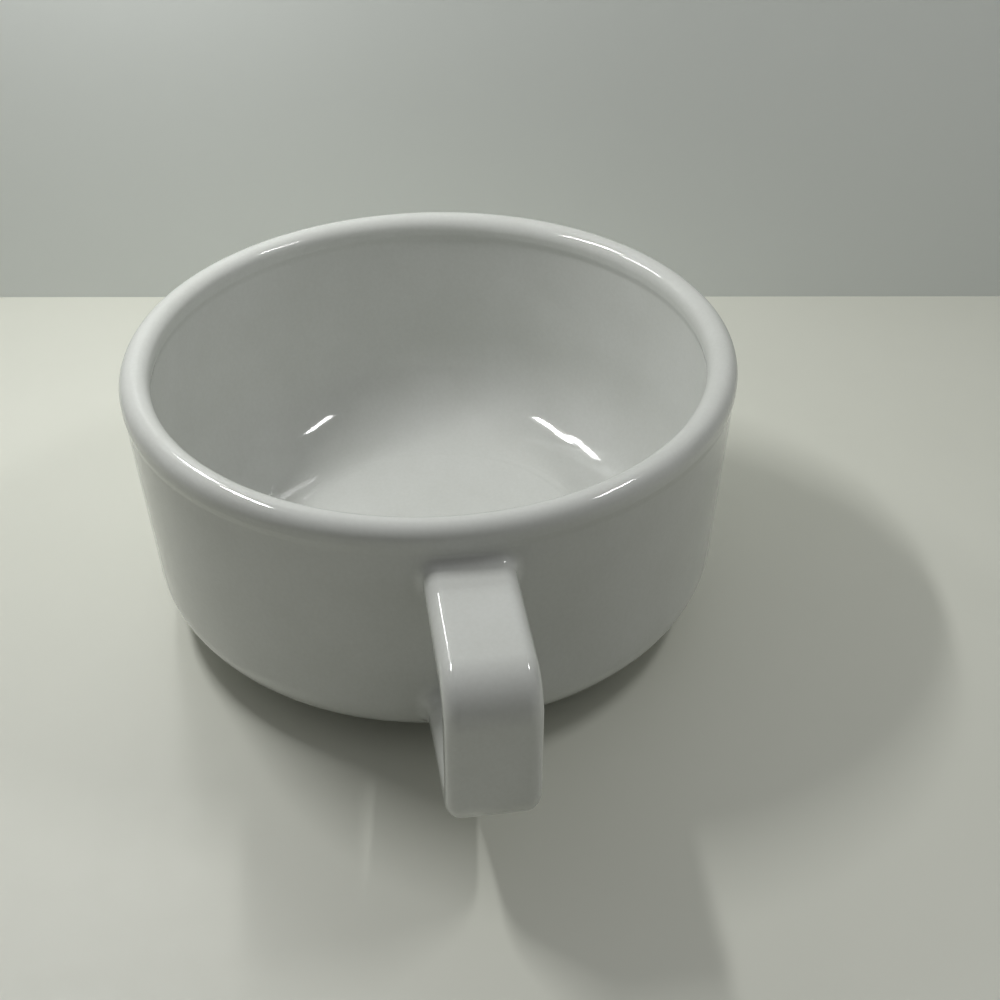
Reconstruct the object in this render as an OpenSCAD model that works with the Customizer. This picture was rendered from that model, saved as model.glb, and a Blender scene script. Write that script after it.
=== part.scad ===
// Soup mug of white porcelain: a low wide cup with a rolled rim, a rounded bottom on a foot ring,
// and a square-bent strap handle that is luted to the wall with slip and glazed over.
// Millimetres. The mug stands on z = 0 about the Z axis, and its handle lies along +X.

/* [Cup] */
// Diameter over the rim
rim_d = 110; // [90:1:140]
// Height from the table to the top of the rim
cup_h = 52; // [46:1:80]
// Thickness of the rolled rim
rim_t = 5.4; // [4.6:0.1:7]
// Depth of the rolled rim, from its top to the neck below it
rim_depth = 5; // [4.6:0.1:8]
// How far the rolled rim stands out from the wall
rim_proud = 0.3; // [0.1:0.05:0.8]
// Thickness of the wall
wall_t = 4.7; // [3.8:0.1:6]
// How much further out the wall is at the neck than at the bottom
wall_flare = 2.6; // [0.5:0.1:6]
// Radius of the rounding between wall and underside
bottom_r = 11; // [6:0.5:16]
// Radius of the rounding between the inside wall and the floor
inside_r = 18; // [8:0.5:26]
// Thickness of the floor
floor_t = 5; // [4:0.1:8]

/* [Foot ring] */
// Height of the foot ring
foot_h = 3.4; // [3:0.1:6]
// Width of the foot ring
foot_w = 4.2; // [3.2:0.1:8]
// Step between the bottom rounding and the foot ring
foot_step = 2.6; // [1.6:0.1:8]
// Rounding of the foot ring's lower edges
foot_round = 1.2; // [0.6:0.1:1.4]
// Fillet between the foot ring and the underside
foot_fillet = 1.2; // [0.5:0.1:1.5]

/* [Handle] */
// Reach of the handle's outer face from the rim, at its top before the bend is rounded
handle_reach = 29.4; // [20:0.2:34]
// Height of the rim's top over the handle's upper face
handle_drop = 6.8; // [5.6:0.1:12]
// Height of the handle's lower face over the table, at the wall
handle_low = 9.3; // [6:0.1:12]
// How much higher the lower face is at the grip than at the wall
arm_rise = 6.5; // [0:0.1:9]
// How far the grip leans in towards the cup from top to bottom
grip_lean = 2; // [0:0.1:8]
// Width of the strap
strap_w = 14.6; // [11:0.1:22]
// Thickness of the strap
strap_t = 6.5; // [5:0.1:9]
// Rounding of the strap's edges
strap_round = 2.5; // [1:0.1:4]
// Radius inside the upper bend
upper_bend_r = 1; // [0.5:0.1:10]
// Radius inside the lower bend
lower_bend_r = 1.3; // [0.5:0.1:6]

/* [Luted joints] */
// Thickness of the slip between the handle's ends and the wall
lute_t = 0.5; // [0.3:0.05:0.8]
// Radius of the slip's fillet round the handle's upper end
lute_fillet = 1.8; // [1.2:0.1:2.6]
// How far the slip's fillet runs out along the lower arm
lower_reach = 3.4; // [1.5:0.1:4.2]
// How far it spreads up the wall above the lower arm
lower_rise = 4; // [1.5:0.1:5]
// How far it spreads over the wall beside the lower arm
lower_side = 2.2; // [1:0.1:3]
// How far it spreads under the lower arm
lower_under = 1; // [0.4:0.1:2]

/* [Glaze] */
// Thickness of the glaze
glaze_t = 0.3; // [0.2:0.05:0.4]
// Height over the table at which the glaze ends on the foot ring
glaze_line = 1.4; // [1.2:0.1:2]

/* [Hidden] */
$fn = 128;

// Colours of the fired clay, the slip and the glaze
clay = [0.90, 0.88, 0.83];
slip = [0.92, 0.92, 0.89];
glaze = [0.94, 0.95, 0.93];

// Heights
neck_z = cup_h - rim_depth;
floor_z = foot_h + floor_t;
inside_floor_z = foot_h + floor_t / 2;
strap_top_z = cup_h - handle_drop;
upper_z = strap_top_z - strap_t / 2;

// Radii of the glazed cup
rim_r = rim_d / 2;
neck_r = rim_r - rim_proud;
base_r = neck_r - wall_flare;
foot_r = base_r - bottom_r - foot_step;
foot_mid_r = foot_r - foot_w / 2;

// The lower arm: its ends inside the wall and at the grip, its slope, and its middle's height at the wall
arm_start_x = base_r - bottom_r;
grip_low_x = rim_r + handle_reach - grip_lean;
arm_slope = arm_rise / (grip_low_x - base_r);
lower_z = handle_low + strap_t / 2 * sqrt(1 + arm_slope ^ 2);

// Roundings that the thickness they lie on may limit
least_flat = 0.2;
rim_edge_r = (rim_t - least_flat) / 2;
strap_edge_r = min(strap_round, (strap_t - least_flat) / 2);

// The rolled rim swells out over a share of its height below the top rounding, in a soft double bend
swell_share = 0.6;
rim_swell = swell_share * (rim_depth - rim_edge_r);
swell_z = neck_z + rim_swell;
neck_round = 2 * rim_swell;

// Outlines run this far past the Z axis before they are turned about it
past_axis = 10;

// The glazed cup's outline: radius, height and rounding at each corner, anticlockwise
cup_corners = [
  [-past_axis, foot_h, 0],
  [foot_r - foot_w, foot_h, foot_fillet],
  [foot_r - foot_w, -glaze_t, foot_round],
  [foot_r, -glaze_t, foot_round],
  [foot_r, foot_h, foot_fillet],
  [base_r, foot_h, bottom_r],
  [neck_r, neck_z, neck_round],
  [rim_r, swell_z, neck_round],
  [rim_r, cup_h, rim_edge_r],
  [rim_r - rim_t, cup_h, rim_edge_r],
  [rim_r - rim_t, swell_z, neck_round],
  [neck_r - wall_t, neck_z, neck_round],
  [base_r - wall_t, floor_z, inside_r],
  [-past_axis, floor_z, 0],
];

// The outline of the wall's outside, filled to the axis, which the handle is fitted to.
// The rim's faint bends are left sharp here.
wall_corners = [
  [-past_axis, foot_h, 0],
  [base_r, foot_h, bottom_r],
  [neck_r, neck_z, 0],
  [rim_r, swell_z, 0],
  [rim_r, cup_h, 0],
  [-past_axis, cup_h, 0],
];

// The handle's outer face in side view, from the axis out along the top and back in below
handle_corners = [
  [0, strap_top_z, 0],
  [rim_r + handle_reach, strap_top_z, upper_bend_r + strap_t],
  [grip_low_x, handle_low + arm_rise, lower_bend_r + strap_t],
  [arm_start_x, handle_low - arm_slope * (base_r - arm_start_x), 0],
];

// How far the strap's straight runs reach into its bends, and how much slimmer they are
run_overlap = 0.1;
seam = 0.02;

// Bands in which the bottom rounding is turned where the handle is cut to it
wall_bands = 12;

// The slip's fillets at the two ends of the handle: how far each spreads beside, above and below
// the strap, and how far each runs out along it
upper_spread = [lute_fillet, lute_fillet, lute_fillet];
lower_spread = [lower_side, lower_rise, lower_under];
upper_reach = lute_fillet;

// Where the two arms meet the wall: the middle's height and the arm's slope
upper_root = [upper_z, 0];
lower_root = [lower_z, arm_slope];

// The slip's shape: steps round each corner, along each broad side, over the fillet's arc and
// across its seats, the tries that bring a point of a sloping arm to the wall, the feather edge
// that the slip ends in, and the gap that its flat facets keep
corner_steps = 6;
side_steps = 6;
arc_steps = 6;
seat_steps = 6;
wall_tries = 6;
feather = 0.06;
seat_gap = 0.04;

// Outline helpers: directions, turns and rounded corners

function place(corner) = [corner.x, corner.y];
function before(list, i) = list[(i + len(list) - 1) % len(list)];
function after(list, i) = list[(i + 1) % len(list)];
function heading(from, to) = (to - from) / norm(to - from);
function left_of(direction) = [-direction.y, direction.x];
function turn_between(u, v) = atan2(u.x * v.y - u.y * v.x, u * v);

// Corners of an outline whose every edge is moved to its left, with the roundings kept parallel
function moved_left(corners, step) = [
  for (i = [0 : len(corners) - 1])
    let (
      here = place(corners[i]),
      u = heading(place(before(corners, i)), here),
      v = heading(here, place(after(corners, i))),
      side = sign(turn_between(u, v)),
      there = here + step * (left_of(u) + left_of(v)) / (1 + u * v),
      radius = corners[i][2]
    )
    [there.x, there.y, radius == 0 ? 0 : radius - side * step]
];

// The arc that rounds a corner: its start, end, centre, radius and turn, with left turns positive
function arc_at(corners, i) =
  let (
    here = place(corners[i]),
    u = heading(place(before(corners, i)), here),
    v = heading(here, place(after(corners, i))),
    turn = turn_between(u, v),
    radius = corners[i][2],
    reach = radius * tan(abs(turn) / 2),
    start = here - reach * u
  )
  [start, here + reach * v, start + sign(turn) * radius * left_of(u), radius, turn];

// Points along an arc, or along the square corner that it rounds
function arc_points(arc, steps, square = false) =
  let (
    spoke = arc[0] - arc[2],
    first = atan2(spoke.y, spoke.x)
  )
  [
    for (k = [0 : steps])
      let (
        angle = first + arc[4] * k / steps,
        shorten = square ? max(abs(cos(angle)), abs(sin(angle))) : 1
      )
      arc[2] + arc[3] / shorten * [cos(angle), sin(angle)]
  ];

// The slice of a circle that lies beyond the chord of an arc
module arc_slice(arc) {
  middle = (arc[0] + arc[1]) / 2;
  outward = heading(arc[2], middle) * arc[3];
  intersection() {
    translate(arc[2]) circle(r = arc[3]);
    polygon(
      arc[4] > 0
        ? [arc[0], arc[0] + outward, arc[1] + outward, arc[1]]
        : [arc[0], arc[1], arc[1] + outward, arc[0] + outward]
    );
  }
}

// An anticlockwise outline with true arcs at its corners
module rounded(corners) {
  arcs = [for (i = [0 : len(corners) - 1]) arc_at(corners, i)];
  difference() {
    union() {
      polygon([for (arc = arcs) each arc[3] == 0 ? [arc[0]] : [arc[0], arc[1]]]);
      for (arc = arcs)
        if (arc[3] > 0 && arc[4] > 0) arc_slice(arc);
    }
    for (arc = arcs)
      if (arc[3] > 0 && arc[4] < 0) arc_slice(arc);
  }
}

// The half of an outline on the right of the axis
module right_half() {
  intersection() {
    children();
    translate([0, -cup_h]) square([rim_d, 3 * cup_h]);
  }
}

// Cup

module clay_outline() {
  rounded(moved_left(cup_corners, glaze_t));
}

module glaze_outline() {
  difference() {
    rounded(cup_corners);
    clay_outline();
  }
}

module below_glaze_line() {
  translate([0, glaze_line - cup_h]) square([rim_d, cup_h]);
}

module inside_foot_ring() {
  translate([0, inside_floor_z - cup_h]) square([foot_mid_r, cup_h]);
}

// Turns an outline about the Z axis, starting on the side away from the handle
module turned() {
  rotate(180) rotate_extrude() right_half() children();
}

// The outline of the cup's wall filled to the axis and grown outwards from the glazed surface, to cut
// the handle to. Its bottom rounding is in narrow bands.
module wall_outline(grow) {
  corners = moved_left(wall_corners, -grow);
  bands = arc_points(arc_at(corners, 1), wall_bands);
  rest = [for (i = [2 : len(corners) - 1]) place(corners[i])];
  polygon(concat([place(corners[0])], bands, rest));
}

module filled_wall(grow) {
  turned() wall_outline(grow);
}

module cup_body() {
  color(clay) turned() clay_outline();
}

module cup_glaze() {
  color(glaze)
    difference() {
      turned()
        difference() {
          glaze_outline();
          below_glaze_line();
          inside_foot_ring();
        }
      joint_window(upper_root, upper_spread);
      joint_window(lower_root, lower_spread);
    }
}

module base_glaze() {
  color(glaze)
    turned()
      difference() {
        intersection() {
          glaze_outline();
          inside_foot_ring();
        }
        below_glaze_line();
      }
}

// Handle

function all_round(grow) = [grow, grow, grow];

// The strap's section across and up, grown by a spread beside, above and below it
function strap_corners(spread) =
  let (
    side = strap_w / 2 + spread[0],
    top = strap_t / 2 + spread[1],
    bottom = strap_t / 2 + spread[2],
    upper_r = strap_edge_r + min(spread[0], spread[1]),
    lower_r = strap_edge_r + min(spread[0], spread[2])
  )
  [[side, -bottom, lower_r], [side, top, upper_r], [-side, top, upper_r], [-side, -bottom, lower_r]];

module strap_section(grow) {
  rotate(90) rounded(strap_corners(all_round(grow)));
}

module strap_coat(outer, inner) {
  difference() {
    strap_section(outer);
    strap_section(inner);
  }
}

module straight_run(from, to) {
  direction = to - from;
  translate([from.x, from.y, 0])
    rotate(atan2(direction.y, direction.x))
      translate([-run_overlap, 0, 0])
        rotate([90, 0, 90]) linear_extrude(norm(direction) + 2 * run_overlap) children();
}

module bend(arc) {
  spoke = arc[1] - arc[2];
  translate([arc[2].x, arc[2].y, 0])
    rotate(atan2(spoke.y, spoke.x))
      rotate_extrude(angle = abs(arc[4])) translate([arc[3], 0]) children();
}

// Sweeps the strap along its middle, upright in the XZ plane: the first section along the straight
// runs and the second round the bends. The runs reach into the bends to join up, so the first
// section is slimmer than the second by the seam.
module strap() {
  middle = moved_left(handle_corners, -strap_t / 2);
  upper = arc_at(middle, 1);
  lower = arc_at(middle, 2);
  rotate([90, 0, 0]) {
    straight_run(place(middle[0]), upper[0]) children(0);
    bend(upper) children(1);
    straight_run(upper[1], lower[0]) children(0);
    bend(lower) children(1);
    straight_run(lower[1], place(middle[3])) children(0);
  }
}

module handle() {
  color(clay)
    difference() {
      strap() {
        strap_section(-glaze_t - seam);
        strap_section(-glaze_t);
      }
      filled_wall(lute_t - glaze_t);
    }
}

// The part of an outline below the middle of the grip
module lower_half() {
  intersection() {
    children();
    translate([-past_axis, -cup_h]) square([rim_d, cup_h + (upper_z + lower_z) / 2]);
  }
}

// The coat round the strap, which ends at the slip's fillets
module handle_glaze() {
  color(glaze)
    difference() {
      strap() {
        strap_coat(-seam, seam - glaze_t);
        strap_coat(0, -glaze_t);
      }
      filled_wall(upper_reach + feather + seat_gap);
      turned() lower_half() wall_outline(lower_reach + feather + seat_gap);
    }
}

// Luted joints

// Radius at a height on a straight stretch of the wall between two corners, grown outwards
function stretch_radius(low, high, z, grow) =
  let (slope = (high.x - low.x) / (high.y - low.y))
  low.x + slope * (z - low.y) + grow * sqrt(1 + slope ^ 2);

// Radius of the wall at a height, grown outwards from the glazed surface
function wall_radius(z, grow) =
  let (
    arc = arc_at(wall_corners, 1),
    rise = arc[2].y - z,
    reach = bottom_r + grow
  )
  z < arc[1].y ? arc[2].x + sqrt(max(0, reach ^ 2 - rise ^ 2))
  : z < neck_z ? stretch_radius(wall_corners[1], wall_corners[2], z, grow)
  : z < swell_z ? stretch_radius(wall_corners[2], wall_corners[3], z, grow)
  : rim_r + grow;

// Points along a section's outline: its corners, rounded or square, and its broad sides in steps
function outline_points(corners, square) = [
  for (i = [0 : len(corners) - 1])
    let (
      arc = arc_at(corners, i),
      next = arc_at(corners, (i + 1) % len(corners)),
      is_broad = i % 2 == 1
    )
    each concat(
      arc_points(arc, corner_steps, square),
      [for (k = [1 : side_steps - 1]) if (is_broad) arc[1] + (next[0] - arc[1]) * k / side_steps]
    )
];

// Where the line through a spot of an arm's section meets the wall, grown outwards by a lift.
// Each try moves out along the arm to the radius that the wall had at the last try's height.
function meets_wall(root, spot, lift, x = base_r, tries = wall_tries) =
  let (
    z = root[0] + spot.y * sqrt(1 + root[1] ^ 2) + root[1] * (x - base_r),
    wall_x = sqrt(wall_radius(z, lift) ^ 2 - spot.x ^ 2)
  )
  tries == 0 ? [wall_x, spot.x, z] : meets_wall(root, spot, lift, wall_x, tries - 1);

// A ring of the slip: the strap's outline grown by a spread and drawn in to a share of itself,
// at a lift off the glazed wall
function slip_ring(root, spread, lift, share = 1, square = false) = [
  for (spot = share * outline_points(strap_corners(spread), square)) meets_wall(root, spot, lift)
];

// The slip between the wall and one end of the handle, squeezed out into a fillet round it.
// Its rings run out over the bare wall in a rectangle, rise flush with the glaze, then run up
// the fillet, down the strap's side and in over the strap's cut end.
module luting_slip(root, spread, reach) {
  on_clay = seat_gap - glaze_t;
  on_end = lute_t - glaze_t - seat_gap;
  edge = all_round(feather);
  against_clay = all_round(on_clay);
  wall_seat = [
    for (k = [1 : seat_steps])
      slip_ring(root, spread + edge, on_clay, k / seat_steps, true)
  ];
  glaze_edge = [slip_ring(root, spread + edge, 0, 1, true)];
  fillet = [
    for (k = [0 : arc_steps])
      let (angle = 90 * k / arc_steps)
      slip_ring(root, spread * (1 - sin(angle)) + edge, reach * (1 - cos(angle)) + feather)
  ];
  strap_edge = [slip_ring(root, against_clay, reach + feather)];
  strap_seat = [
    for (k = [seat_steps : -1 : 1])
      slip_ring(root, against_clay, on_end, k / seat_steps)
  ];
  rings = concat(wall_seat, glaze_edge, fillet, strap_edge, strap_seat);
  count = len(rings[0]);
  points = concat(
    [for (ring = rings) each ring],
    [meets_wall(root, [0, 0], on_clay), meets_wall(root, [0, 0], on_end)]
  );
  wall_middle = len(points) - 2;
  end_middle = len(points) - 1;
  last = end_middle - 1 - count;
  sides = [
    for (k = [0 : len(rings) - 2], i = [0 : count - 1])
      let (
        a = k * count + i,
        b = k * count + (i + 1) % count
      )
      each [[a, a + count, b], [b, a + count, b + count]]
  ];
  wall_fan = [for (i = [0 : count - 1]) [i, (i + 1) % count, wall_middle]];
  end_fan = [for (i = [0 : count - 1]) [last + (i + 1) % count, last + i, end_middle]];
  polyhedron(points = points, faces = concat(sides, wall_fan, end_fan));
}

// The opening that the slip takes in the cup's outer glaze: a rectangle, square to the arm
module joint_window(root, spread) {
  outline = [for (corner = strap_corners(spread + all_round(feather + seat_gap))) place(corner)];
  difference() {
    translate([arm_start_x, 0, root[0] - root[1] * (base_r - arm_start_x)])
      rotate([0, -atan(root[1]), 0])
        rotate([90, 0, 90])
          linear_extrude(rim_d) polygon(outline);
    filled_wall(-wall_t / 2);
  }
}

module upper_handle_joint() {
  color(slip) luting_slip(upper_root, upper_spread, upper_reach);
}

module lower_handle_joint() {
  color(slip) luting_slip(lower_root, lower_spread, lower_reach);
}

cup_body();
handle();
upper_handle_joint();
lower_handle_joint();
cup_glaze();
handle_glaze();
base_glaze();
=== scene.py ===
"""A soup mug of white glazed porcelain on a pale table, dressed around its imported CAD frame."""

import math
from collections import namedtuple

import bmesh
import bpy
from mathutils import Matrix, Vector


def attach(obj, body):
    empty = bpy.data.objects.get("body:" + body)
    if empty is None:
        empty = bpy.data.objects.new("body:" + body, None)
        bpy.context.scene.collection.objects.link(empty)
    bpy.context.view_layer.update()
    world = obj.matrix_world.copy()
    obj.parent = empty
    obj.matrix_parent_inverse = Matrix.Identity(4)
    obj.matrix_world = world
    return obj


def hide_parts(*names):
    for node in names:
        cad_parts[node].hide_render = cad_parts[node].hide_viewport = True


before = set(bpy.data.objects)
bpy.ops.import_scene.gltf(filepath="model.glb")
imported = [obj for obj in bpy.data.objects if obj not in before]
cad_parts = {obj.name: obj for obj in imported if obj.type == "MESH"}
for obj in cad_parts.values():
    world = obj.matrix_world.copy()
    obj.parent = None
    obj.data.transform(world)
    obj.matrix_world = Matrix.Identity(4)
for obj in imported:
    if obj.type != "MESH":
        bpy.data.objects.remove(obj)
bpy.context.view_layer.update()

MM = 0.001

# Sizes in millimetres, as in the part's source
RIM_R = 55.0
CUP_H = 52.0
RIM_T = 5.4
RIM_DEPTH = 5.0
RIM_PROUD = 0.3
WALL_T = 4.7
WALL_FLARE = 2.6
BOTTOM_R = 11.0
INSIDE_R = 18.0
FLOOR_T = 5.0
FOOT_H = 3.4
FOOT_STEP = 2.6
FOOT_FILLET = 1.2
HANDLE_REACH = 29.4
HANDLE_DROP = 6.8
HANDLE_LOW = 9.3
ARM_RISE = 6.5
GRIP_LEAN = 2.0
STRAP_W = 14.6
STRAP_T = 6.5
STRAP_ROUND = 2.5
UPPER_BEND_R = 1.0
LOWER_BEND_R = 1.3
LUTE_FILLET = 1.8
LOWER_REACH = 3.4
LOWER_RISE = 4.0
LOWER_SIDE = 2.2
LOWER_UNDER = 1.0
GLAZE_T = 0.3
GLAZE_LINE = 1.4
LEAST_FLAT = 0.2

# The rolled rim swells out over this share of its height below the top rounding
SWELL_SHARE = 0.6

# Places that follow from the sizes
NECK_Z = CUP_H - RIM_DEPTH
FLOOR_Z = FOOT_H + FLOOR_T
STRAP_TOP_Z = CUP_H - HANDLE_DROP
NECK_R = RIM_R - RIM_PROUD
BASE_R = NECK_R - WALL_FLARE
FOOT_R = BASE_R - BOTTOM_R - FOOT_STEP
GRIP_TOP_X = RIM_R + HANDLE_REACH
GRIP_LOW_X = GRIP_TOP_X - GRIP_LEAN
ARM_SLOPE = ARM_RISE / (GRIP_LOW_X - BASE_R)
RIM_EDGE_R = (RIM_T - LEAST_FLAT) / 2
RIM_SWELL = SWELL_SHARE * (RIM_DEPTH - RIM_EDGE_R)
SWELL_Z = NECK_Z + RIM_SWELL
NECK_ROUND = 2 * RIM_SWELL

# Where the two arms meet the wall: the middle's height, the arm's slope and which way its outer face lies
UPPER_ROOT = (STRAP_TOP_Z - STRAP_T / 2, 0.0, 1)
LOWER_ROOT = (HANDLE_LOW + STRAP_T / 2 * math.hypot(1, ARM_SLOPE), ARM_SLOPE, -1)

# The low ridge that forming left round the flat of the inside floor
FLOOR_RING_W = 2.4
FLOOR_RING_H = 0.06

# Fineness of the meshes
TURN_STEPS = 256
ARC_STEP = math.radians(4)
STRAIGHT_STEP = 2.0
CORNER_STEPS = 12
BROAD_STEPS = 10
NARROW_STEPS = 2
FILLET_STEPS = 16
FLOOR_RING_STEPS = 12
BEND_STEPS = 28
WALL_TRIES = 6
SHARP_EDGE = math.radians(40)
TINY = 1e-6

# The photo's view, in degrees, and in metres to the right of the mug, behind it and above the table
VIEW_AZIMUTH = 82.05
VIEW_PITCH = 36.301
VIEW_ROLL = 0.516
CAMERA_PLACE = (0.012414, -0.247256, 0.198967)
VIEW_TURN = Matrix.Rotation(math.radians(VIEW_AZIMUTH), 4, "Z")

# The camera's lens and sensor, in millimetres, and its nearest sight, in metres
CAMERA_LENS = 57.6
CAMERA_SENSOR = 36
CAMERA_NEAR = 0.01

# Half the width of the table top, in metres
TABLE_HALF = 3

# How far behind the mug the backdrop meets the table, its turn, in degrees, and its width and height, the
# lengths in metres
BACKDROP_BACK = 0.111
BACKDROP_TURN = -0.94
BACKDROP_W = 1.6
BACKDROP_H = 0.24

# Strip lamps that run from front to back: their places to the right and up, their front and back ends, all
# in metres, and their watts
STRIP_WIDTH = 0.012
STRIP_LAMPS = {
    "left_strip": (-0.14, 0.28, 0.0, 0.105, 0.40),
    "low_left_strip": (-0.08, 0.16, 0.055, 0.1, 0.045),
    "right_strip": (0.17, 0.28, -0.04, 0.04, 0.15),
}

# Soft light of the room: the way to its brightest part, to the right, behind and up, and its strength there
SOFT_LIGHTS = (((1, 0, 0.3), 0.34), ((-1, 0, 0.3), 0.28), ((0, 1, 0.8), 0.20))


# Outlines with rounded corners

Arc = namedtuple("Arc", "start end centre turn")


def arc_at(corners, i):
    """The arc that rounds a corner, with left turns positive."""
    here = Vector(corners[i][:2])
    way_in = (here - Vector(corners[i - 1][:2])).normalized()
    way_out = (Vector(corners[(i + 1) % len(corners)][:2]) - here).normalized()
    turn = math.atan2(way_in.x * way_out.y - way_in.y * way_out.x, way_in.dot(way_out))
    radius = corners[i][2]
    reach = radius * math.tan(abs(turn) / 2)
    start = here - reach * way_in
    centre = start + math.copysign(radius, turn) * Vector((-way_in.y, way_in.x))
    return Arc(start, here + reach * way_out, centre, turn)


def arc_points(arc, steps):
    spoke = arc.start - arc.centre
    return [arc.centre + Matrix.Rotation(arc.turn * k / steps, 2) @ spoke for k in range(steps + 1)]


def rounded_path(corners):
    """Points along an open path, with its inner corners rounded and its straights in short steps."""
    path = [Vector(corners[0][:2])]
    for i in range(1, len(corners)):
        is_end = i == len(corners) - 1
        if is_end:
            stretch = [Vector(corners[i][:2])]
        else:
            arc = arc_at(corners, i)
            stretch = arc_points(arc, max(2, math.ceil(abs(arc.turn) / ARC_STEP)))
        gap = stretch[0] - path[-1]
        count = max(1, math.ceil(gap.length / STRAIGHT_STEP))
        path += [path[-1] + gap * (k + 1) / count for k in range(count - 1)]
        path += stretch
    return path


def moved_left(path, step):
    """A path moved to its left, point by point."""
    moved = []
    for i, spot in enumerate(path):
        before = path[max(i - 1, 0)]
        after = path[min(i + 1, len(path) - 1)]
        along = (after - before).normalized()
        moved.append(spot + step * Vector((-along.y, along.x)))
    return moved


# Meshes

def new_piece(name, vertices, faces, material):
    """A smooth mesh piece that rides on the mug, from points in millimetres."""
    mesh = bpy.data.meshes.new(name)
    mesh.from_pydata([Vector(v) * MM for v in vertices], [], faces)
    shape = bmesh.new()
    shape.from_mesh(mesh)
    bmesh.ops.recalc_face_normals(shape, faces=shape.faces)
    for edge in shape.edges:
        edge.smooth = edge.calc_face_angle(0) < SHARP_EDGE
    for face in shape.faces:
        face.smooth = True
    shape.to_mesh(mesh)
    shape.free()
    mesh.materials.append(material)
    piece = bpy.data.objects.new(name, mesh)
    bpy.context.scene.collection.objects.link(piece)
    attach(piece, "root")
    return piece


def turned(name, outline, material):
    """A closed outline of radius and height, turned about the Z axis."""
    vertices = []
    rings = []
    for spot in outline:
        steps = 1 if spot.x < TINY else TURN_STEPS
        rings.append([len(vertices) + k for k in range(steps)])
        for k in range(steps):
            angle = 2 * math.pi * k / TURN_STEPS
            vertices.append((spot.x * math.cos(angle), spot.x * math.sin(angle), spot.y))
    faces = []
    for ring, other in zip(rings, rings[1:] + rings[:1]):
        if len(ring) == 1 and len(other) == 1:
            continue
        for k in range(TURN_STEPS):
            corners = [ring[k % len(ring)], ring[(k + 1) % len(ring)]]
            corners += [other[(k + 1) % len(other)], other[k % len(other)]]
            faces.append(list(dict.fromkeys(corners)))
    return new_piece(name, vertices, faces, material)


def lofted(name, rings, material):
    """A tube through rings of equally many points, closed at both ends."""
    count = len(rings[0])
    vertices = [spot for ring in rings for spot in ring]
    faces = []
    for k in range(len(rings) - 1):
        for i in range(count):
            here = k * count + i
            beside = k * count + (i + 1) % count
            faces.append((here, beside, beside + count, here + count))
    faces.append(list(range(count)))
    faces.append(list(range(len(vertices) - count, len(vertices))))
    return new_piece(name, vertices, faces, material)


# Materials

class Nodes:
    """Short calls for one material's node tree."""

    def __init__(self, name):
        self.material = bpy.data.materials.new(name)
        self.material.use_nodes = True
        self.tree = self.material.node_tree
        self.shader = self.tree.nodes["Principled BSDF"]
        self.place = self.add("ShaderNodeTexCoord").outputs["Object"]

    def add(self, kind, **settings):
        node = self.tree.nodes.new(kind)
        for name, value in settings.items():
            setattr(node, name, value)
        return node

    def link(self, output, socket):
        self.tree.links.new(output, socket)

    def noise(self, scale, detail=3.0, roughness=0.5):
        node = self.add("ShaderNodeTexNoise")
        node.inputs["Scale"].default_value = scale
        node.inputs["Detail"].default_value = detail
        node.inputs["Roughness"].default_value = roughness
        self.link(self.place, node.inputs["Vector"])
        return node.outputs["Fac"]

    def ramp(self, fac, low, high, low_colour, high_colour):
        node = self.add("ShaderNodeValToRGB")
        node.color_ramp.elements[0].position = low
        node.color_ramp.elements[0].color = (*low_colour, 1)
        node.color_ramp.elements[1].position = high
        node.color_ramp.elements[1].color = (*high_colour, 1)
        self.link(fac, node.inputs["Fac"])
        return node.outputs["Color"]

    def span(self, fac, low, high):
        node = self.add("ShaderNodeMapRange")
        node.inputs["To Min"].default_value = low
        node.inputs["To Max"].default_value = high
        self.link(fac, node.inputs["Value"])
        return node.outputs["Result"]

    def multiply(self, first, second):
        node = self.add("ShaderNodeMix", data_type="RGBA", blend_type="MULTIPLY")
        node.inputs["Factor"].default_value = 1
        self.link(first, node.inputs["A"])
        self.link(second, node.inputs["B"])
        return node.outputs["Result"]

    def bump(self, height, distance, strength, under=None):
        node = self.add("ShaderNodeBump")
        node.inputs["Distance"].default_value = distance
        node.inputs["Strength"].default_value = strength
        self.link(height, node.inputs["Height"])
        if under is not None:
            self.link(under, node.inputs["Normal"])
        return node.outputs["Normal"]


def glaze_material():
    """White porcelain under a clear glaze: a faint mottle, a faint grain and a softly waved surface."""
    nodes = Nodes("porcelain_glaze")
    mottle = nodes.ramp(
        nodes.noise(scale=70, detail=4), low=0.35, high=0.65,
        low_colour=(0.59, 0.604, 0.572), high_colour=(0.615, 0.629, 0.60))
    grain = nodes.ramp(
        nodes.noise(scale=1400, detail=2), low=0.3, high=0.7,
        low_colour=(0.965, 0.965, 0.96), high_colour=(1, 1, 1))
    nodes.link(nodes.multiply(mottle, grain), nodes.shader.inputs["Base Color"])
    nodes.link(nodes.span(nodes.noise(scale=160), low=0.04, high=0.085), nodes.shader.inputs["Roughness"])
    nodes.shader.inputs["IOR"].default_value = 1.52
    waves = nodes.bump(nodes.noise(scale=55, detail=1), distance=0.0006, strength=0.025)
    peel = nodes.bump(nodes.noise(scale=700, detail=2), distance=0.00008, strength=0.1, under=waves)
    nodes.link(peel, nodes.shader.inputs["Normal"])
    return nodes.material


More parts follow.
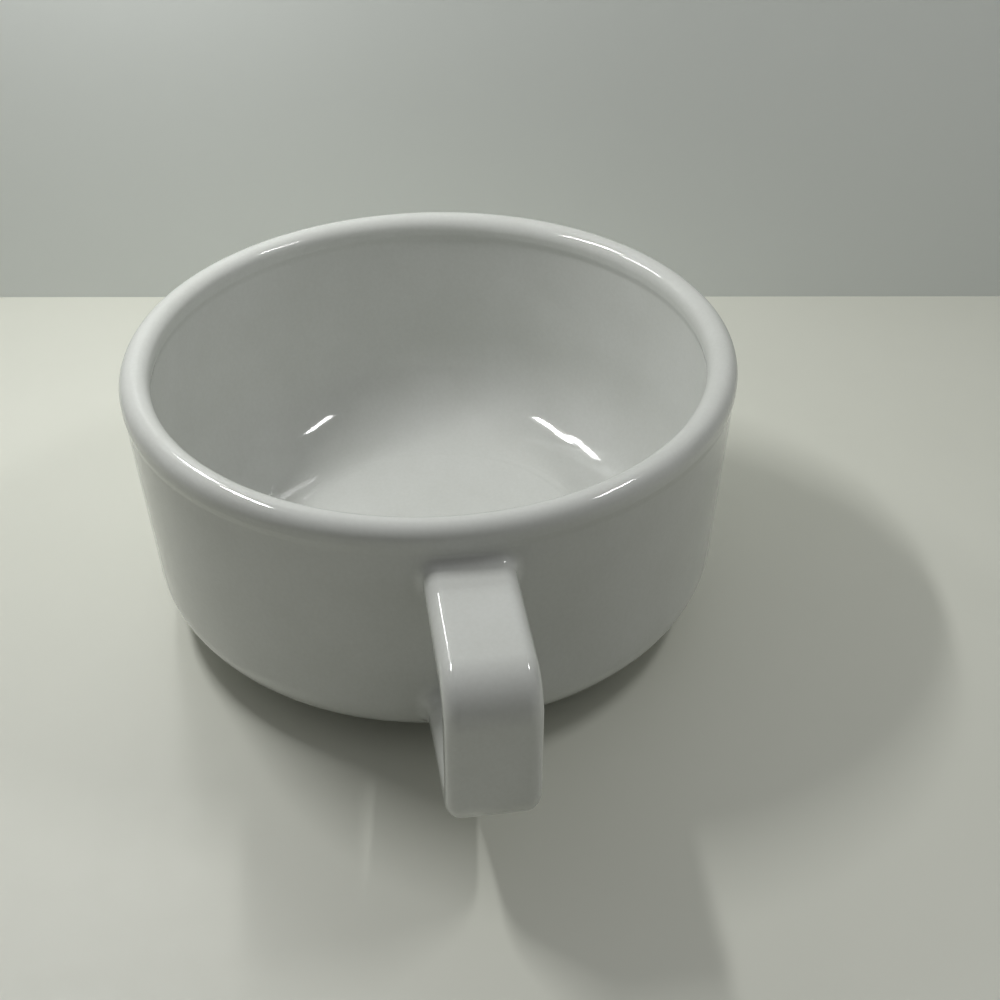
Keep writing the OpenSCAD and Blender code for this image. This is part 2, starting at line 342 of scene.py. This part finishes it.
def clay_material():
    """Bare fired porcelain: matt, a little warmer than the glaze, with a ground grain."""
    nodes = Nodes("bare_porcelain")
    grain = nodes.noise(scale=1800, detail=6, roughness=0.7)
    blotch = nodes.ramp(
        nodes.noise(scale=120, detail=4), low=0.3, high=0.7,
        low_colour=(0.70, 0.67, 0.60), high_colour=(0.77, 0.745, 0.69))
    dust = nodes.ramp(grain, low=0.3, high=0.55, low_colour=(0.88, 0.87, 0.85), high_colour=(1, 1, 1))
    nodes.link(nodes.multiply(blotch, dust), nodes.shader.inputs["Base Color"])
    nodes.link(nodes.span(grain, low=0.6, high=0.85), nodes.shader.inputs["Roughness"])
    nodes.link(nodes.bump(grain, distance=0.0002, strength=0.4), nodes.shader.inputs["Normal"])
    return nodes.material


def floor_material():
    """A pale table top, slightly satin."""
    nodes = Nodes("table_top")
    tone = nodes.ramp(
        nodes.noise(scale=9, detail=5, roughness=0.6), low=0.3, high=0.7,
        low_colour=(0.66, 0.67, 0.592), high_colour=(0.69, 0.698, 0.622))
    nodes.link(tone, nodes.shader.inputs["Base Color"])
    satin = nodes.span(nodes.noise(scale=220, detail=4), low=0.42, high=0.55)
    nodes.link(satin, nodes.shader.inputs["Roughness"])
    return nodes.material


def wall_material():
    """A pale backdrop that only shows from the front."""
    nodes = Nodes("backdrop")
    tone = nodes.ramp(
        nodes.noise(scale=5, detail=4), low=0.3, high=0.7,
        low_colour=(0.70, 0.73, 0.705), high_colour=(0.735, 0.765, 0.74))
    nodes.link(tone, nodes.shader.inputs["Base Color"])
    nodes.shader.inputs["Roughness"].default_value = 0.7
    clear = nodes.add("ShaderNodeBsdfTransparent")
    side = nodes.add("ShaderNodeNewGeometry")
    mix = nodes.add("ShaderNodeMixShader")
    nodes.link(side.outputs["Backfacing"], mix.inputs["Fac"])
    nodes.link(nodes.shader.outputs["BSDF"], mix.inputs[1])
    nodes.link(clear.outputs["BSDF"], mix.inputs[2])
    nodes.link(mix.outputs["Shader"], nodes.tree.nodes["Material Output"].inputs["Surface"])
    return nodes.material


# The cup

def outer_path():
    """The glazed surface from the line on the foot, up the outside, over the rim and in to the axis."""
    return rounded_path([
        (FOOT_R, GLAZE_LINE, 0),
        (FOOT_R, FOOT_H, FOOT_FILLET),
        (BASE_R, FOOT_H, BOTTOM_R),
        (NECK_R, NECK_Z, NECK_ROUND),
        (RIM_R, SWELL_Z, NECK_ROUND),
        (RIM_R, CUP_H, RIM_EDGE_R),
        (RIM_R - RIM_T, CUP_H, RIM_EDGE_R),
        (RIM_R - RIM_T, SWELL_Z, NECK_ROUND),
        (NECK_R - WALL_T, NECK_Z, NECK_ROUND),
        (BASE_R - WALL_T, FLOOR_Z, INSIDE_R),
        (0, FLOOR_Z, 0),
    ])


def with_floor_ring(path):
    """The path with a low ridge where the inside floor turns flat."""
    flat = [spot for spot in path if abs(spot.y - FLOOR_Z) < TINY]
    edge = flat[0].x
    ridge = []
    for k in range(FLOOR_RING_STEPS + 1):
        rise = FLOOR_RING_H * math.sin(math.pi * k / FLOOR_RING_STEPS) ** 2
        ridge.append(Vector((edge - FLOOR_RING_W * k / FLOOR_RING_STEPS, FLOOR_Z + rise)))
    before = path[:path.index(flat[0])]
    return before + ridge + [spot for spot in flat if spot.x < edge - FLOOR_RING_W]


def make_cup_coat(material):
    outside = outer_path()
    inside = moved_left(outside, GLAZE_T)
    inside[0] = outside[0] + Vector((-GLAZE_T, 0))
    inside[-1] = outside[-1] + Vector((0, -GLAZE_T))
    coat = turned("cup_coat", with_floor_ring(outside) + inside[::-1], material)
    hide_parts("cup_glaze")


# The handle

def wall_radius(z, lift):
    """Radius of the glazed wall at a height, grown outwards."""
    bottom = arc_at([(0, FOOT_H, 0), (BASE_R, FOOT_H, BOTTOM_R), (NECK_R, NECK_Z, 0)], 1)
    if z < bottom.end.y:
        return bottom.centre.x + math.sqrt(max(0.0, (BOTTOM_R + lift) ** 2 - (bottom.centre.y - z) ** 2))
    slope = WALL_FLARE / (NECK_Z - FOOT_H)
    return BASE_R + slope * (z - FOOT_H) + lift * math.hypot(1, slope)


def strap_outline(beside=0.0, inside=0.0, outside=0.0):
    """Points round the strap's section, across and outwards, grown beside, inside and outside of it."""
    side = STRAP_W / 2 + beside
    inner = STRAP_T / 2 + inside
    outer = STRAP_T / 2 + outside
    inner_r = STRAP_ROUND + min(beside, inside)
    outer_r = STRAP_ROUND + min(beside, outside)
    corners = [(side, -inner, inner_r), (side, outer, outer_r)]
    corners += [(-side, outer, outer_r), (-side, -inner, inner_r)]
    arcs = [arc_at(corners, i) for i in range(len(corners))]
    points = []
    for i, arc in enumerate(arcs):
        points += arc_points(arc, CORNER_STEPS)
        gap = arcs[(i + 1) % len(arcs)].start - arc.end
        steps = BROAD_STEPS if i % 2 else NARROW_STEPS
        points += [arc.end + gap * k / steps for k in range(1, steps)]
    return points


def meets_wall(root, spot, lift):
    """Where the line through a spot of an arm's section meets the wall, grown outwards by a lift."""
    middle_z, slope, outwards = root
    x = BASE_R
    for _ in range(WALL_TRIES):
        z = middle_z + outwards * spot.y * math.hypot(1, slope) + slope * (x - BASE_R)
        x = math.sqrt(wall_radius(z, lift) ** 2 - spot.x ** 2)
    return x, spot.x, z


def root_ring(root, spread, lift):
    """A ring round one root of the strap, grown by a spread, at a lift off the wall."""
    return [meets_wall(root, spot, lift) for spot in strap_outline(*spread)]


def root_rings(root, spread, reach):
    """Rings from under the wall's surface, out along the fillet, to the strap's own section."""
    rings = [root_ring(root, spread, -GLAZE_T / 2)]
    for k in range(FILLET_STEPS + 1):
        angle = math.pi / 2 * k / FILLET_STEPS
        left_over = [part * (1 - math.sin(angle)) for part in spread]
        rings.append(root_ring(root, left_over, reach * (1 - math.cos(angle))))
    return rings


def strap_rings():
    """Rings square to the strap's middle, from the upper bend's start to the lower bend's end."""
    corners = [
        (BASE_R, STRAP_TOP_Z, 0),
        (GRIP_TOP_X, STRAP_TOP_Z, UPPER_BEND_R + STRAP_T),
        (GRIP_LOW_X, HANDLE_LOW + ARM_RISE, LOWER_BEND_R + STRAP_T),
        (BASE_R, HANDLE_LOW, 0),
    ]
    rings = []
    for i in (1, 2):
        arc = arc_at(corners, i)
        for spot in arc_points(arc, BEND_STEPS):
            out = (spot - arc.centre).normalized()
            middle = spot - out * STRAP_T / 2
            places = [(middle + out * point.y, point.x) for point in strap_outline()]
            rings.append([(place.x, across, place.y) for place, across in places])
    return rings


def make_handle_coat(material):
    """The coat over the strap and over the slip at its two roots, in one sweep."""
    upper = root_rings(UPPER_ROOT, (LUTE_FILLET, LUTE_FILLET, LUTE_FILLET), LUTE_FILLET)
    lower = root_rings(LOWER_ROOT, (LOWER_SIDE, LOWER_RISE, LOWER_UNDER), LOWER_REACH)
    coat = lofted("handle_coat", upper + strap_rings() + lower[::-1], material)
    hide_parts("handle_glaze", "upper_handle_joint", "lower_handle_joint")


# Stage, light and camera

def stage_plane(name, corners, material):
    mesh = bpy.data.meshes.new(name)
    mesh.from_pydata(corners, [], [range(len(corners))])
    mesh.materials.append(material)
    plane = bpy.data.objects.new(name, mesh)
    bpy.context.scene.collection.objects.link(plane)


def on_table(right, back, up):
    """A point, from how far it lies to the right of the mug, behind it and above the table."""
    return VIEW_TURN @ Vector((right, back, up))


def make_stage():
    sides = [(-1, -1, 0), (1, -1, 0), (1, 1, 0), (-1, 1, 0)]
    stage_plane("floor", [TABLE_HALF * Vector(side) for side in sides], floor_material())
    slant = math.tan(math.radians(BACKDROP_TURN))
    ends = [(right, BACKDROP_BACK + slant * right) for right in (-BACKDROP_W / 2, BACKDROP_W / 2)]
    low = [on_table(right, back, 0) for right, back in ends]
    high = [on_table(right, back, BACKDROP_H) for right, back in reversed(ends)]
    stage_plane("backdrop", low + high, wall_material())


def strip_lamp(name, right, up, front, back, power):
    """A strip lamp that runs from front to back and faces the mug."""
    data = bpy.data.lights.new(name, "AREA")
    data.shape = "RECTANGLE"
    data.size = STRIP_WIDTH
    data.size_y = back - front
    data.energy = power
    lamp = bpy.data.objects.new(name, data)
    place = on_table(right, (front + back) / 2, up)
    lean = Matrix.Rotation(math.atan2(right, up), 4, "Y")
    lamp.matrix_world = Matrix.Translation(place) @ VIEW_TURN @ lean
    bpy.context.scene.collection.objects.link(lamp)


def make_world():
    """Soft light that fades with the angle from the way to each of its brightest parts."""
    world = bpy.data.worlds.new("studio")
    bpy.context.scene.world = world
    world.use_nodes = True
    tree = world.node_tree
    place = tree.nodes.new("ShaderNodeTexCoord").outputs["Generated"]
    total = tree.nodes["Background"].inputs["Strength"]
    for way, strength in SOFT_LIGHTS:
        cosine = tree.nodes.new("ShaderNodeVectorMath")
        cosine.operation = "DOT_PRODUCT"
        cosine.inputs[1].default_value = on_table(*way).normalized()
        tree.links.new(place, cosine.inputs[0])
        glow = tree.nodes.new("ShaderNodeMapRange")
        glow.inputs["To Max"].default_value = strength
        tree.links.new(cosine.outputs["Value"], glow.inputs["Value"])
        add = tree.nodes.new("ShaderNodeMath")
        add.inputs[1].default_value = 0
        tree.links.new(glow.outputs["Result"], add.inputs[0])
        tree.links.new(add.outputs["Value"], total)
        total = add.inputs[1]
    tree.nodes["Background"].inputs["Color"].default_value = (1, 1, 1, 1)


def make_camera():
    """The photo's view: its place and its pitch and roll are fitted to the mug's outlines."""
    data = bpy.data.cameras.new("camera")
    data.sensor_width = CAMERA_SENSOR
    data.lens = CAMERA_LENS
    data.clip_start = CAMERA_NEAR
    camera = bpy.data.objects.new("camera", data)
    tilt = Matrix.Rotation(math.radians(90 - VIEW_PITCH), 4, "X")
    roll = Matrix.Rotation(math.radians(-VIEW_ROLL), 4, "Z")
    camera.matrix_world = Matrix.Translation(on_table(*CAMERA_PLACE)) @ VIEW_TURN @ tilt @ roll
    bpy.context.scene.collection.objects.link(camera)
    bpy.context.scene.camera = camera


def main():
    glaze = glaze_material()
    clay = clay_material()
    for name, material in (("cup_body", clay), ("handle", clay), ("base_glaze", glaze)):
        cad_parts[name].data.materials.clear()
        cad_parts[name].data.materials.append(material)
    make_cup_coat(glaze)
    make_handle_coat(glaze)
    make_stage()
    make_world()
    for name, settings in STRIP_LAMPS.items():
        strip_lamp(name, *settings)
    make_camera()
    bpy.context.scene.view_settings.view_transform = "Standard"


main()
